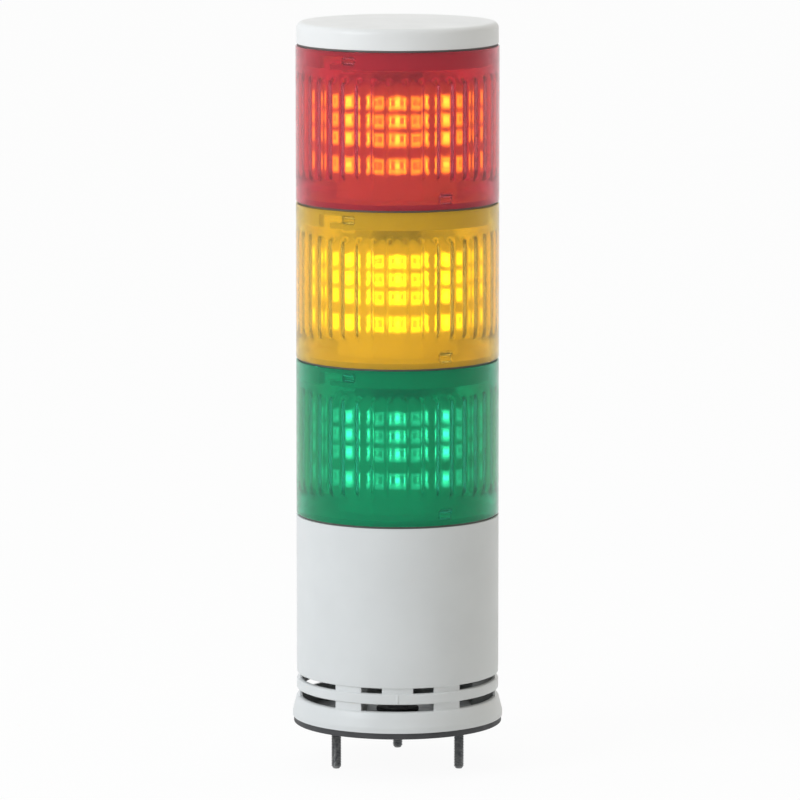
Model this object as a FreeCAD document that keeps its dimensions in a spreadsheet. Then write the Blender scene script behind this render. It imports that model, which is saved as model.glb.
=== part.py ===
"""A three-colour stack light, 100 mm across, for the top of a machine.

A white housing stands on a ring gasket and is bolted down by three studs. It holds
the control board, the buzzer and its volume trimmer. Three light units, green,
amber and red, and a head cover are stacked on it. Each is held on the one below by
a bayonet: lugs inside the lower collar sit in bent slots in the upper spigot, and a
short turn frees them. Contact springs under each unit run on ring tracks on the one
below, so the supply passes up the stack.

Millimetres, +Z up. The origin is the centre of the mounting face, the underside of
the gasket, and the front faces -Y. A light unit is drawn from its own seam plane,
where its lens stands on its seal.
"""

import FreeCAD, Part
import os
import re

import Sketcher
from FreeCAD import Vector

# Every size that can be set by itself: its name, its value, and what it measures.
SIZES = [
    # mounting
    ("gasket_thick", 3.0, "gasket under the foot"),
    ("gasket_inset", 0.5, "gasket, in from the edge of the foot"),
    ("plate_thick", 2.0, "steel plate that closes the housing"),
    ("plate_clear", 0.2, "gap round the plate"),
    ("stud_radius", 2.5, "M5 mounting studs"),
    ("stud_circle", 35.0, "studs from the axis, half their pitch circle"),
    ("stud_out", 21.0, "stud below the mounting face"),
    ("knurl_out", 0.4, "knurled neck of a stud in the plate, out from its shank"),
    ("stud_head_radius", 4.5, "pressed head of a stud"),
    ("stud_head_thick", 1.4, "pressed head of a stud"),
    ("stud_count", 3, "studs"),
    ("hole_clear", 0.4, "round a screw in its clearance hole"),
    ("fit_clear", 0.05, "round a pin or screw in a close hole"),
    # screws and the pillars that take them
    ("screw_inset", 7.0, "screws, in from the inside of the wall"),
    ("pillar_width", 8.0, "pillar inside the housing wall"),
    ("pillar_count", 3, "pillars"),
    ("screw_radius", 1.9, "screw through the plate"),
    ("screw_length", 12.0, "screw through the plate, under its head"),
    ("head_radius", 3.5, "screw heads"),
    ("head_thick", 2.0, "screw heads"),
    ("board_screw_radius", 1.4, "screw through the control board"),
    ("board_screw_length", 8.0, "screw through the control board, under its head"),
    # housing
    ("body_radius", 50.0, "outside of the housing and of the lenses"),
    ("body_wall", 2.5, "wall of the housing"),
    ("body_height", 101.0, "housing, from the gasket to its rim"),
    ("foot_flare", 2.0, "foot of the housing, out from the wall"),
    ("foot_height", 2.5, "straight part of the foot"),
    ("flare_height", 8.0, "taper from the foot to the wall"),
    ("low_slot_rise", 12.0, "middle of the lower sound slots above the gasket"),
    ("low_slot_height", 3.6, "lower sound slots"),
    ("slot_pitch", 8.5, "from the lower sound slots to the upper ones"),
    ("high_slot_height", 2.6, "upper sound slots"),
    ("slot_span", 43.0, "degrees of the wall that a sound slot takes"),
    ("slot_count", 6, "groups of sound slots"),
    ("front_web", 18.0, "degrees of wall left in the front upper slot"),
    ("tick_width", 0.9, "index tick between the front slots"),
    ("tick_proud", 0.3, "index tick between the front slots"),
    ("tick_margin", 0.8, "from a slot to the index tick"),
    ("pillar_height", 43.0, "pillars, from the plate to the control board"),
    # bayonet between one unit and the next
    ("lens_wall", 3.5, "wall of a lens, and of the collar on the housing"),
    ("collar_spare", 2.0, "plain collar below the end of a spigot"),
    ("run_clear", 0.3, "between pieces that turn against each other"),
    ("spigot_wall", 2.5, "wall of a spigot"),
    ("spigot_depth", 10.0, "spigot below the seam plane"),
    ("lug_reach", 2.0, "lug, inwards from the collar"),
    ("lug_height", 3.0, "lug"),
    ("lug_drop", 3.0, "top of a lug below the rim of its collar"),
    ("lug_span", 8.0, "degrees that a lug takes"),
    ("lug_count", 3, "lugs, and bent slots"),
    ("lug_slack", 0.5, "degrees of play beside a lug"),
    ("twist_angle", 18.0, "degrees from locked to free"),
    ("seal_thick", 1.0, "ring seal between units"),
    ("seal_inset", 0.8, "ring seal, in from the outside"),
    # light unit
    ("unit_pitch", 77.4, "from one seam plane to the next"),
    ("unit_count", 3, "light units"),
    ("rib_count", 40, "prism grooves inside a lens"),
    ("rib_depth", 1.3, "prism groove, outwards from the inside"),
    ("rib_land", 0.7, "degrees of plain wall between two grooves"),
    ("rib_start", 12.0, "lower end of the grooves above the seam plane"),
    ("floor_thick", 2.5, "floor of a light unit"),
    ("pad_reach", 3.0, "pad of the lens, inwards, welded to the floor"),
    ("pad_height", 4.0, "pad of the lens"),
    ("pad_width", 7.0, "pad of the lens"),
    ("socket_radius", 13.0, "boss that holds the contact springs"),
    ("socket_depth", 12.0, "boss below the seam plane"),
    ("spring_width", 1.2, "contact spring, from edge to edge"),
    ("spring_length", 3.0, "contact spring, along its track"),
    ("spring_out", 2.1, "contact spring below its boss"),
    ("spring_in", 6.0, "contact spring inside its boss"),
    ("spring_step", 2.0, "from one contact spring to the next"),
    ("spring_count", 5, "contact springs"),
    ("track_flat", 12.5, "from the axis to a side of a track board"),
    ("track_thick", 1.6, "board with the ring tracks"),
    ("tower_flat", 29.0, "from the axis to a face of the reflector tower"),
    ("tower_wall", 4.0, "wall of the tower, as deep as its reflectors"),
    ("deck_thick", 2.0, "top of the tower"),
    ("window_width", 19.0, "mouth of a reflector"),
    ("window_height", 7.0, "mouth of an upper reflector"),
    ("window_pitch", 9.0, "from one upper reflector to the next"),
    ("window_drop", 11.0, "middle of the highest reflector below the tower's top"),
    ("window_rows", 3, "upper reflectors on each face"),
    ("low_window_height", 8.0, "mouth of the lowest reflector"),
    ("low_window_drop", 13.0, "from the upper reflectors to the lowest"),
    ("window_lean", 26.0, "degrees that the reflector walls lean"),
    ("led_width", 5.0, "lamp chip"),
    ("led_height", 2.4, "lamp chip"),
    ("led_thick", 0.9, "lamp chip"),
    ("led_board_width", 18.0, "board behind a face of the tower"),
    ("led_board_thick", 1.2, "board behind a face of the tower"),
    ("link_width", 18.0, "upright board from the springs to the tracks"),
    ("link_thick", 1.6, "upright board from the springs to the tracks"),
    # head cover
    ("cap_inset", 0.4, "head cover, in from the lenses' outside"),
    ("cap_height", 10.5, "head cover above its seam plane"),
    ("cap_wall", 2.5, "top of the head cover"),
    ("cap_edge", 3.0, "rounding of the head cover's top edge"),
    # inside the housing
    ("board_gap", 3.0, "control board, in from the inside of the wall"),
    ("board_thick", 1.6, "control board"),
    ("buzzer_gap", 2.5, "from the buzzer to the pillar on its right"),
    ("buzzer_radius", 15.0, "buzzer"),
    ("buzzer_height", 10.0, "buzzer"),
    ("mouth_radius", 4.0, "sound hole of the buzzer"),
    ("mouth_depth", 3.0, "sound hole of the buzzer"),
    ("terminal_inset", 20.5, "terminal block, in from the board's edge"),
    ("terminal_width", 10.0, "terminal block"),
    ("terminal_pitch", 5.0, "from one terminal to the next"),
    ("terminal_count", 6, "terminals"),
    ("terminal_height", 10.0, "terminal block"),
    ("terminal_screw_radius", 1.7, "terminal screw"),
    ("terminal_screw_out", 1.0, "terminal screw below its block"),
    ("wire_entry_width", 3.0, "square wire entry of a terminal"),
    ("wire_entry_depth", 2.5, "wire entry of a terminal"),
    ("wire_entry_level", 4.0, "wire entry, up from the terminals' face"),
    ("trimmer_inset", 16.5, "volume trimmer, in from the board's front edge"),
    ("trimmer_side", 9.5, "volume trimmer"),
    ("trimmer_height", 5.0, "volume trimmer"),
    ("rotor_radius", 3.2, "rotor of the trimmer"),
    ("rotor_thick", 2.0, "rotor of the trimmer"),
    ("rotor_clear", 0.15, "round the rotor"),
    ("driver_width", 0.8, "screwdriver slot in the rotor"),
    ("driver_depth", 0.9, "screwdriver slot in the rotor"),
    ("access_radius", 3.0, "hole in the plate under the trimmer"),
    ("capacitor_inset", 16.5, "capacitors, in from the board's back edge"),
    ("capacitor_pitch", 13.0, "from one capacitor to the next"),
    ("capacitor_radius", 5.0, "capacitors"),
    ("capacitor_height", 16.0, "capacitors"),
    ("capacitor_count", 2, "capacitors"),
    ("transistor_inset", 6.5, "switching transistors, in from the board's edge"),
    ("transistor_start", 285.0, "degrees to the first transistor"),
    ("transistor_step", 18.0, "degrees from one transistor to the next"),
    ("transistor_width", 9.0, "switching transistor"),
    ("transistor_thick", 4.5, "switching transistor"),
    ("transistor_height", 15.0, "switching transistor"),
    ("transistor_count", 4, "switching transistors"),
    ("column_wall", 2.0, "column that carries the first ring tracks"),
    ("ribbon_width", 10.0, "flat cable in the column"),
    ("ribbon_thick", 0.9, "flat cable in the column"),
    # cable entry
    ("cable_radius", 5.0, "cable hole in the grommet"),
    ("neck_radius", 8.0, "neck of the grommet, in the plate"),
    ("rim_radius", 10.5, "rims of the grommet"),
    ("rim_thick", 1.8, "rims of the grommet"),
]

# Levels and radii that follow from them.
PLATE_TOP = "(gasket_thick + plate_thick)"
RIM = "(gasket_thick + body_height)"
FIRST_SEAM = f"({RIM} + seal_thick)"
HEAD_SEAM = f"({FIRST_SEAM} + unit_count * unit_pitch)"
WALL_INSIDE = "(body_radius - body_wall)"
WALL_MIDDLE = "(body_radius - body_wall / 2)"
FOOT_RADIUS = "(body_radius + foot_flare)"
CAP_RADIUS = "(body_radius - cap_inset)"
SCREW_CIRCLE = f"({WALL_INSIDE} - screw_inset)"
GASKET_OUTSIDE = f"({FOOT_RADIUS} - gasket_inset)"
GASKET_INSIDE = f"({SCREW_CIRCLE} + head_radius + hole_clear)"
LOW_SLOT = "(gasket_thick + low_slot_rise)"
HIGH_SLOT = f"({LOW_SLOT} + slot_pitch)"
LENS_HEIGHT = "(unit_pitch - seal_thick)"
LENS_INSIDE = "(body_radius - lens_wall)"
LENS_MIDDLE = "(body_radius - lens_wall / 2)"
COLLAR_DEPTH = "(spigot_depth + collar_spare)"
SPIGOT_OUTSIDE = f"({LENS_INSIDE} - run_clear)"
SPIGOT_INSIDE = f"({SPIGOT_OUTSIDE} - spigot_wall)"
SPRING_END = "(socket_depth + spring_out)"
TRACK_DROP = f"({SPRING_END} + run_clear)"  # ring tracks below the seam plane above them
TOWER_TOP = f"(unit_pitch - {TRACK_DROP} - track_thick)"
LINK_FOOT = "(spring_in - socket_depth)"
WINDOW_TOP = f"({TOWER_TOP} - window_drop)"
LOW_WINDOW = f"({WINDOW_TOP} - (window_rows - 1) * window_pitch - low_window_drop)"
BOARD_LEVEL = f"({PLATE_TOP} + pillar_height)"
BOARD_TOP = f"({BOARD_LEVEL} + board_thick)"
BOARD_RADIUS = f"({WALL_INSIDE} - board_gap)"
BUZZER_X = f"({SCREW_CIRCLE} - pillar_width / 2 - buzzer_gap - buzzer_radius)"
TERMINAL_X = f"(terminal_inset - {BOARD_RADIUS})"
TRIMMER_Y = f"(trimmer_inset - {BOARD_RADIUS})"
CAPACITOR_Y = f"({BOARD_RADIUS} - capacitor_inset)"
TRANSISTOR_CIRCLE = f"({BOARD_RADIUS} - transistor_inset)"
FEED_TOP = f"({FIRST_SEAM} - {TRACK_DROP})"
SIDES = 8  # of the reflector tower, the track boards and the column
FRONT = "270"
TOUCH = 1e-6

doc = FreeCAD.newDocument("StackLight")
sheet = doc.addObject("Spreadsheet::Sheet", "Sizes")
for row, (name, number, note) in enumerate(SIZES, 1):
    sheet.set(f"A{row}", name)
    sheet.set(f"B{row}", str(number))
    sheet.set(f"C{row}", note)
    sheet.setAlias(f"B{row}", name)
doc.recompute()


def linked(formula):
    """The formula as an object outside the sheet writes it."""
    return re.sub(r"[a-z]+_[a-z_]+", lambda name: "Sizes." + name.group(), formula)


def bind(thing, name, formula):
    thing.setExpression(name, linked(formula))


def value(formula):
    """What the formula comes to now, for a sketch's first draft."""
    result = sheet.evalExpression(formula)
    return float(getattr(result, "Value", result))


def new_body(label, level="0"):
    """A body whose own frame stands at that level on the axis."""
    body = doc.addObject("PartDesign::Body", "Body")
    body.Label = label
    bind(body, "Placement.Base.z", level)
    return body


def origin_part(body, role):
    return next(part for part in body.Origin.OriginFeatures if part.Role == role)


def sketch(body, offset="0", plane="XY_Plane"):
    """A sketch on a level, or on an upright plane that far in front of the axis."""
    drawn = body.newObject("Sketcher::SketchObject", "Outline")
    drawn.AttachmentSupport = (origin_part(body, plane), [""])
    drawn.MapMode = "FlatFace"
    bind(drawn, "AttachmentOffset.Base.z", offset)
    return drawn


def hold(drawn, element, point, across, up):
    """Tie a point of the sketch to its distances from the origin."""
    for kind, formula in (("DistanceX", across), ("DistanceY", up)):
        rule = Sketcher.Constraint(kind, -1, 1, element, point, value(formula))
        bind(drawn, f"Constraints[{drawn.addConstraint(rule)}]", formula)


def outline(drawn, corners):
    """A closed outline of straight lines through the corners."""
    first = drawn.GeometryCount
    spots = [Vector(value(across), value(up), 0) for across, up in corners]
    for start, end in zip(spots, spots[1:] + spots[:1]):
        drawn.addGeometry(Part.LineSegment(start, end), False)
    for step, (across, up) in enumerate(corners):
        following = first + (step + 1) % len(corners)
        drawn.addConstraint(Sketcher.Constraint("Coincident", first + step, 2, following, 1))
        hold(drawn, first + step, 1, across, up)
    return drawn


def circle(drawn, radius, across="0", up="0"):
    centre = Vector(value(across), value(up), 0)
    ring = drawn.addGeometry(Part.Circle(centre, Vector(0, 0, 1), value(radius)), False)
    rule = Sketcher.Constraint("Radius", ring, value(radius))
    bind(drawn, f"Constraints[{drawn.addConstraint(rule)}]", radius)
    hold(drawn, ring, 3, across, up)
    return drawn


def box(drawn, left, right, low, high):
    return outline(drawn, [(left, low), (right, low), (right, high), (left, high)])


def centred_box(drawn, width, height, across="0", up="0"):
    return box(drawn, f"{across} - {width} / 2", f"{across} + {width} / 2",
               f"{up} - {height} / 2", f"{up} + {height} / 2")


def wedge(drawn, inner, outer, start, end):
    """A piece of a ring, cut between two angles, with straight ends."""
    return outline(drawn, [(f"{radius} * cos({angle})", f"{radius} * sin({angle})")
                           for radius, angle in ((inner, start), (outer, start), (outer, end), (inner, end))])


def octagon(drawn, flat):
    """A regular eight-sided outline, a side to the front, from its middle to a side."""
    radius = f"{flat} / cos({180 / SIDES})"
    angles = [360 / SIDES * (side + 0.5) for side in range(SIDES)]
    return outline(drawn, [(f"{radius} * cos({angle})", f"{radius} * sin({angle})") for angle in angles])


def revolve(body, corners):
    """A ring or disc turned from half its section, given as radius and level."""
    turned = body.newObject("PartDesign::Revolution", "Turned")
    turned.Profile = outline(sketch(body, plane="XZ_Plane"), corners)
    turned.ReferenceAxis = (turned.Profile[0], ["V_Axis"])
    return turned


def pad(body, drawn, length):
    raised = body.newObject("PartDesign::Pad", "Raised")
    raised.Profile = drawn
    bind(raised, "Length", length)
    return raised


def cut(body, drawn, length):
    """Cut on the side that a pad would fill."""
    pocket = body.newObject("PartDesign::Pocket", "Cut")
    pocket.Profile = drawn
    pocket.Reversed = True
    bind(pocket, "Length", length)
    return pocket


def around(body, feature, count, angle="360"):
    """Repeat a feature, or a list of them, round the axis."""
    pattern = body.newObject("PartDesign::PolarPattern", "Round")
    pattern.Originals = feature
    pattern.Axis = (origin_part(body, "Z_Axis"), [""])
    bind(pattern, "Angle", angle)
    bind(pattern, "Occurrences", count)
    body.Tip = pattern


def row_of(count, pitch):
    """Places along a row that is centred on nought."""
    return [f"({step} - ({count} - 1) / 2) * {pitch}" for step in range(round(value(count)))]


def lugs(body, rim):
    """Bayonet lugs inside a collar."""
    root = sketch(body, f"{rim} - lug_drop - lug_height")
    wedge(root, f"({LENS_INSIDE} - lug_reach)", LENS_MIDDLE, "(-lug_span / 2)", "(lug_span / 2)")
    around(body, pad(body, root, "lug_height"), "lug_count")


def spigot_slots(body):
    """Bent slots in a spigot: in from its end, then round to the locked place."""
    reach = "(lug_span / 2 + lug_slack)"
    inner = f"({SPIGOT_INSIDE} - spigot_wall)"
    outer = f"({SPIGOT_OUTSIDE} + spigot_wall)"
    low = "(-seal_thick - lug_drop - lug_height - run_clear)"
    run = wedge(sketch(body, low), inner, outer, f"(-twist_angle - {reach})", reach)
    around(body, cut(body, run, "lug_height + 2 * run_clear"), "lug_count")
    entry = wedge(sketch(body, "-spigot_depth"), inner, outer,
                  f"(-twist_angle - {reach})", f"({reach} - twist_angle)")
    around(body, cut(body, entry, f"spigot_depth + {low}"), "lug_count")


# Mounting: gasket, plate, studs and screws

def base_gasket():
    """A flat rubber ring that seals the foot to the machine."""
    body = new_body("base_gasket")
    revolve(body, [
        (GASKET_INSIDE, "0"),
        (GASKET_OUTSIDE, "0"),
        (GASKET_OUTSIDE, "gasket_thick"),
        (GASKET_INSIDE, "gasket_thick"),
    ])


def base_plate():
    """A steel disc let into the foot, with holes for studs, screws, cable and trimmer."""
    body = new_body("base_plate", "gasket_thick")
    pad(body, circle(sketch(body), f"{WALL_INSIDE} - plate_clear"), "plate_thick")
    stud_hole = circle(sketch(body), "stud_radius + knurl_out", "0", "stud_circle")
    around(body, cut(body, stud_hole, "plate_thick"), "stud_count")
    screw_hole = circle(sketch(body), "screw_radius + hole_clear", SCREW_CIRCLE)
    around(body, cut(body, screw_hole, "plate_thick"), "pillar_count")
    cut(body, circle(sketch(body), "neck_radius"), "plate_thick")
    cut(body, circle(sketch(body), "access_radius", "0", TRIMMER_Y), "plate_thick")


def mounting_studs():
    """Studs pressed into the plate from above: a shank, a knurled neck and a flat head."""
    body = new_body("mounting_studs")
    for level, radius, length in (
        ("-stud_out", "stud_radius", "stud_out + gasket_thick"),
        ("gasket_thick", "stud_radius + knurl_out", "plate_thick"),
        (PLATE_TOP, "stud_head_radius", "stud_head_thick"),
    ):
        step = circle(sketch(body, level), radius, "0", "stud_circle")
        around(body, pad(body, step, length), "stud_count")


def screws(label, level, radius, length, upright):
    """Screws at the pillars, with their heads at the level; upright ones point down."""
    body = new_body(label, level)
    shank = circle(sketch(body, f"-{length}"), radius, SCREW_CIRCLE)
    around(body, pad(body, shank, length), "pillar_count")
    around(body, pad(body, circle(sketch(body), "head_radius", SCREW_CIRCLE), "head_thick"), "pillar_count")
    if not upright:
        body.Placement.Rotation = FreeCAD.Rotation(Vector(1, 0, 0), 180)


def cable_grommet():
    """A rubber grommet snapped into the middle of the plate."""
    body = new_body("cable_grommet", "gasket_thick")
    revolve(body, [
        ("cable_radius", "-rim_thick"),
        ("rim_radius", "-rim_thick"),
        ("rim_radius", "0"),
        ("neck_radius", "0"),
        ("neck_radius", "plate_thick"),
        ("rim_radius", "plate_thick"),
        ("rim_radius", "plate_thick + rim_thick"),
        ("cable_radius", "plate_thick + rim_thick"),
    ])


# Housing

def base_housing():
    """The white moulded housing: flared foot, sound slots, screw pillars and collar."""
    body = new_body("base_housing")
    revolve(body, [
        (WALL_INSIDE, "gasket_thick"),
        (FOOT_RADIUS, "gasket_thick"),
        (FOOT_RADIUS, "gasket_thick + foot_height"),
        ("body_radius", "gasket_thick + foot_height + flare_height"),
        ("body_radius", RIM),
        (LENS_INSIDE, RIM),
        (LENS_INSIDE, f"{RIM} - {COLLAR_DEPTH}"),
        (WALL_INSIDE, f"{RIM} - {COLLAR_DEPTH}"),
    ])
    inner = f"({WALL_INSIDE} - body_wall)"
    outer = f"({FOOT_RADIUS} / cos(slot_span / 2))"
    low = sketch(body, f"{LOW_SLOT} - low_slot_height / 2")
    wedge(low, inner, outer, f"({FRONT} - slot_span / 2)", f"({FRONT} + slot_span / 2)")
    around(body, cut(body, low, "low_slot_height"), "slot_count")
    high_level = f"{HIGH_SLOT} - high_slot_height / 2"
    step = "360 / slot_count"
    beside = sketch(body, high_level)
    second = f"{FRONT} + {step}"
    wedge(beside, inner, outer, f"({second} - slot_span / 2)", f"({second} + slot_span / 2)")
    around(body, cut(body, beside, "high_slot_height"), "slot_count - 1", f"360 - 2 * {step}")
    for side in ("-", "+"):
        short = sketch(body, high_level)
        wedge(short, inner, outer, f"({FRONT} {side} front_web / 2)", f"({FRONT} {side} slot_span / 2)")
        cut(body, short, "high_slot_height")
    tick_foot = f"({LOW_SLOT} + low_slot_height / 2 + tick_margin)"
    tick = centred_box(sketch(body, tick_foot), "tick_width", "(2 * tick_proud)", "0", "-body_radius")
    pad(body, tick, f"{HIGH_SLOT} - high_slot_height / 2 - tick_margin - {tick_foot}")
    pillar = sketch(body, PLATE_TOP)
    box(pillar, f"{SCREW_CIRCLE} - pillar_width / 2", WALL_MIDDLE, "-pillar_width / 2", "pillar_width / 2")
    around(body, pad(body, pillar, "pillar_height"), "pillar_count")
    around(body, cut(body, circle(sketch(body, PLATE_TOP), "screw_radius", SCREW_CIRCLE),
                     "screw_length"), "pillar_count")
    hole_floor = sketch(body, f"{BOARD_LEVEL} - board_screw_length")
    board_hole = circle(hole_floor, "board_screw_radius", SCREW_CIRCLE)
    around(body, cut(body, board_hole, "board_screw_length"), "pillar_count")
    lugs(body, RIM)


# Control board and what it carries, hung under it so that they are reached from below

def control_board():
    body = new_body("control_board", BOARD_LEVEL)
    pad(body, circle(sketch(body), BOARD_RADIUS), "board_thick")
    hole = circle(sketch(body), "board_screw_radius + hole_clear", SCREW_CIRCLE)
    around(body, cut(body, hole, "board_thick"), "pillar_count")


def terminal_block():
    """A row of terminals: screws from below, wires from the side that faces the cable."""
    body = new_body("terminal_block", f"{BOARD_LEVEL} - terminal_height")
    pad(body, centred_box(sketch(body), "terminal_width", "terminal_count * terminal_pitch",
                          TERMINAL_X), "terminal_height")
    near_side = f"(terminal_width / 2 + {TERMINAL_X})"
    entries = sketch(body, "wire_entry_level")
    for place in row_of("terminal_count", "terminal_pitch"):
        box(entries, f"{near_side} - wire_entry_depth", near_side,
            f"{place} - wire_entry_width / 2", f"{place} + wire_entry_width / 2")
    cut(body, entries, "wire_entry_width")


def terminal_screws():
    body = new_body("terminal_screws", f"{BOARD_LEVEL} - terminal_height - terminal_screw_out")
    heads = sketch(body)
    for place in row_of("terminal_count", "terminal_pitch"):
        circle(heads, "terminal_screw_radius", TERMINAL_X, place)
    pad(body, heads, "terminal_screw_out")


def capacitors():
    body = new_body("capacitors", f"{BOARD_LEVEL} - capacitor_height")
    cans = sketch(body)
    for place in row_of("capacitor_count", "capacitor_pitch"):
        circle(cans, "capacitor_radius", place, CAPACITOR_Y)
    pad(body, cans, "capacitor_height")


def switching_transistors():
    """One transistor for each light and one for the buzzer, in an arc on the board."""
    body = new_body("switching_transistors", f"{BOARD_LEVEL} - transistor_height")
    first = centred_box(sketch(body), "transistor_thick", "transistor_width", TRANSISTOR_CIRCLE)
    block = pad(body, first, "transistor_height")
    around(body, block, "transistor_count", "(transistor_count - 1) * transistor_step")
    bind(body, "Placement.Rotation.Angle", "transistor_start")


def buzzer():
    """A round buzzer with its sound hole below, towards the sound slots."""
    body = new_body("buzzer", f"{BOARD_LEVEL} - buzzer_height")
    bind(body, "Placement.Base.x", BUZZER_X)
    pad(body, circle(sketch(body), "buzzer_radius"), "buzzer_height")
    cut(body, circle(sketch(body), "mouth_radius"), "mouth_depth")


def volume_trimmer():
    body = new_body("volume_trimmer", f"{BOARD_LEVEL} - trimmer_height")
    bind(body, "Placement.Base.y", TRIMMER_Y)
    pad(body, centred_box(sketch(body), "trimmer_side", "trimmer_side"), "trimmer_height")
    cut(body, circle(sketch(body), "rotor_radius + rotor_clear"), "rotor_thick")


def volume_rotor():
    """The trimmer's slotted rotor, turned from below through the hole in the plate."""
    body = new_body("volume_rotor", f"{BOARD_LEVEL} - trimmer_height")
    bind(body, "Placement.Base.y", TRIMMER_Y)
    pad(body, circle(sketch(body), "rotor_radius"), "rotor_thick")
    cut(body, centred_box(sketch(body), "driver_width", "(2 * (rotor_radius + rotor_clear))"), "driver_depth")


# Column that carries the supply up to the first light unit

def feed_column():
    """An eight-sided tube from the control board to the first track board."""
    body = new_body("feed_column", BOARD_TOP)
    height = f"{FEED_TOP} - track_thick - {BOARD_TOP}"
    pad(body, octagon(sketch(body), "track_flat"), height)
    cut(body, octagon(sketch(body), "(track_flat - column_wall)"), height)


def feed_ribbon():
    """The flat cable inside the column."""
    body = new_body("feed_ribbon", BOARD_TOP)
    ribbon = centred_box(sketch(body), "ribbon_width", "ribbon_thick")
    pad(body, ribbon, f"{FEED_TOP} - track_thick - {BOARD_TOP}")


def track_board(label, level):
    """A board whose ring tracks face the contact springs above."""
    body = new_body(label, level)
    pad(body, octagon(sketch(body), "track_flat"), "track_thick")


# Light units

def lens(label, level):
    """A clear coloured tube with prism grooves inside, lugs above and pads below."""
    body = new_body(label, level)
    foot_inside = f"({SPIGOT_OUTSIDE} + fit_clear)"
    revolve(body, [
        (foot_inside, "0"),
        ("body_radius", "0"),
        ("body_radius", LENS_HEIGHT),
        (LENS_INSIDE, LENS_HEIGHT),
        (LENS_INSIDE, "rib_start"),
        (foot_inside, "rib_start"),
    ])
    half = "(180 / rib_count - rib_land / 2)"
    prism = outline(sketch(body, "rib_start"), [
        (f"{LENS_INSIDE} * cos({half})", f"-{LENS_INSIDE} * sin({half})"),
        (f"{LENS_INSIDE} + rib_depth", "0"),
        (f"{LENS_INSIDE} * cos({half})", f"{LENS_INSIDE} * sin({half})"),
    ])
    around(body, cut(body, prism, f"{LENS_HEIGHT} - {COLLAR_DEPTH} - rib_start"), "rib_count")
    lugs(body, LENS_HEIGHT)
    foot = box(sketch(body, "floor_thick"), f"-{LENS_MIDDLE}", f"pad_reach - {LENS_INSIDE}",
               "-pad_width / 2", "pad_width / 2")
    around(body, pad(body, foot, "pad_height"), "lug_count")


def spring_row(drawn):
    """The springs' section: one on the axis and the rest in a row beside it."""
    for step in range(round(value("spring_count"))):
        centred_box(drawn, "spring_width", "spring_length", f"{step} * spring_step")
    return drawn


def unit_base(label, level):
    """The floor of a light unit, with its spigot and the boss for its springs."""
    body = new_body(label, level)
    revolve(body, [
        ("0", "0"),
        (SPIGOT_INSIDE, "0"),
        (SPIGOT_INSIDE, "-spigot_depth"),
        (SPIGOT_OUTSIDE, "-spigot_depth"),
        (SPIGOT_OUTSIDE, "floor_thick"),
        ("0", "floor_thick"),
    ])
    pad(body, circle(sketch(body, "-socket_depth"), "socket_radius"), "socket_depth")
    cut(body, spring_row(sketch(body, "-socket_depth")), "spring_in")
    slot = centred_box(sketch(body, LINK_FOOT), "link_width", "link_thick")
    cut(body, slot, f"floor_thick - {LINK_FOOT}")
    spigot_slots(body)


def ring_seal(label, level):
    """A flat rubber ring under a unit, pressed on the rim below."""
    body = new_body(label, f"{level} - seal_thick")
    outside = "(body_radius - seal_inset)"
    revolve(body, [(LENS_INSIDE, "0"), (outside, "0"), (outside, "seal_thick"), (LENS_INSIDE, "seal_thick")])


def reflector_rows():
    """The middle and height of each reflector's mouth on a face of the tower."""
    count = round(value("window_rows"))
    upper = [(f"({WINDOW_TOP} - {row} * window_pitch)", "window_height") for row in range(count)]
    return upper + [(LOW_WINDOW, "low_window_height")]


def reflector(body, middle, height):
    """A cut with four leaning walls, through the front face of the tower."""
    narrowing = "tower_wall * tan(window_lean)"
    hole = body.newObject("PartDesign::SubtractiveWedge", "Reflector")
    hole.AttachmentSupport = (origin_part(body, "XY_Plane"), [""])
    hole.MapMode = "FlatFace"
    for end, formula in (
        ("Ymin", "-tower_flat"),
        ("Ymax", "tower_wall - tower_flat"),
        ("Xmin", "-window_width / 2"),
        ("Xmax", "window_width / 2"),
        ("X2min", f"{narrowing} - window_width / 2"),
        ("X2max", f"window_width / 2 - {narrowing}"),
        ("Zmin", f"{middle} - {height} / 2"),
        ("Zmax", f"{middle} + {height} / 2"),
        ("Z2min", f"{middle} - {height} / 2 + {narrowing}"),
        ("Z2max", f"{middle} + {height} / 2 - {narrowing}"),
    ):
        bind(hole, end, formula)
    return hole


def reflector_tower(label, level):
    """An eight-sided white tower with a tapered reflector round each lamp chip."""
    body = new_body(label, level)
    height = f"({TOWER_TOP} - floor_thick)"
    pad(body, octagon(sketch(body, "floor_thick"), "tower_flat"), height)
    cut(body, octagon(sketch(body, "floor_thick"), "(tower_flat - tower_wall)"), f"{height} - deck_thick")
    holes = [reflector(body, middle, height) for middle, height in reflector_rows()]
    around(body, holes, str(SIDES))
    slot = centred_box(sketch(body, f"{TOWER_TOP} - deck_thick"), "link_width", "link_thick")
    cut(body, slot, "deck_thick")


def led_boards(label, level):
    """A board behind each face of the tower, on the floor and under the deck."""
    body = new_body(label, level)
    face = "(tower_flat - tower_wall)"
    board = box(sketch(body, "floor_thick"), "-led_board_width / 2", "led_board_width / 2",
                f"-{face}", f"led_board_thick - {face}")
    around(body, pad(body, board, f"{TOWER_TOP} - deck_thick - floor_thick"), str(SIDES))


def led_chips(label, level):
    """A lamp chip in the bottom of each reflector."""
    body = new_body(label, level)
    chips = sketch(body, "tower_flat - tower_wall", "XZ_Plane")
    for middle, _ in reflector_rows():
        centred_box(chips, "led_width", "led_height", "0", middle)
    around(body, pad(body, chips, "led_thick"), str(SIDES))


def link_board(label, level):
    """An upright board that joins the springs below to the ring tracks above."""
    body = new_body(label, level)
    pad(body, centred_box(sketch(body, LINK_FOOT), "link_width", "link_thick"), f"{TOWER_TOP} - {LINK_FOOT}")


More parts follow.
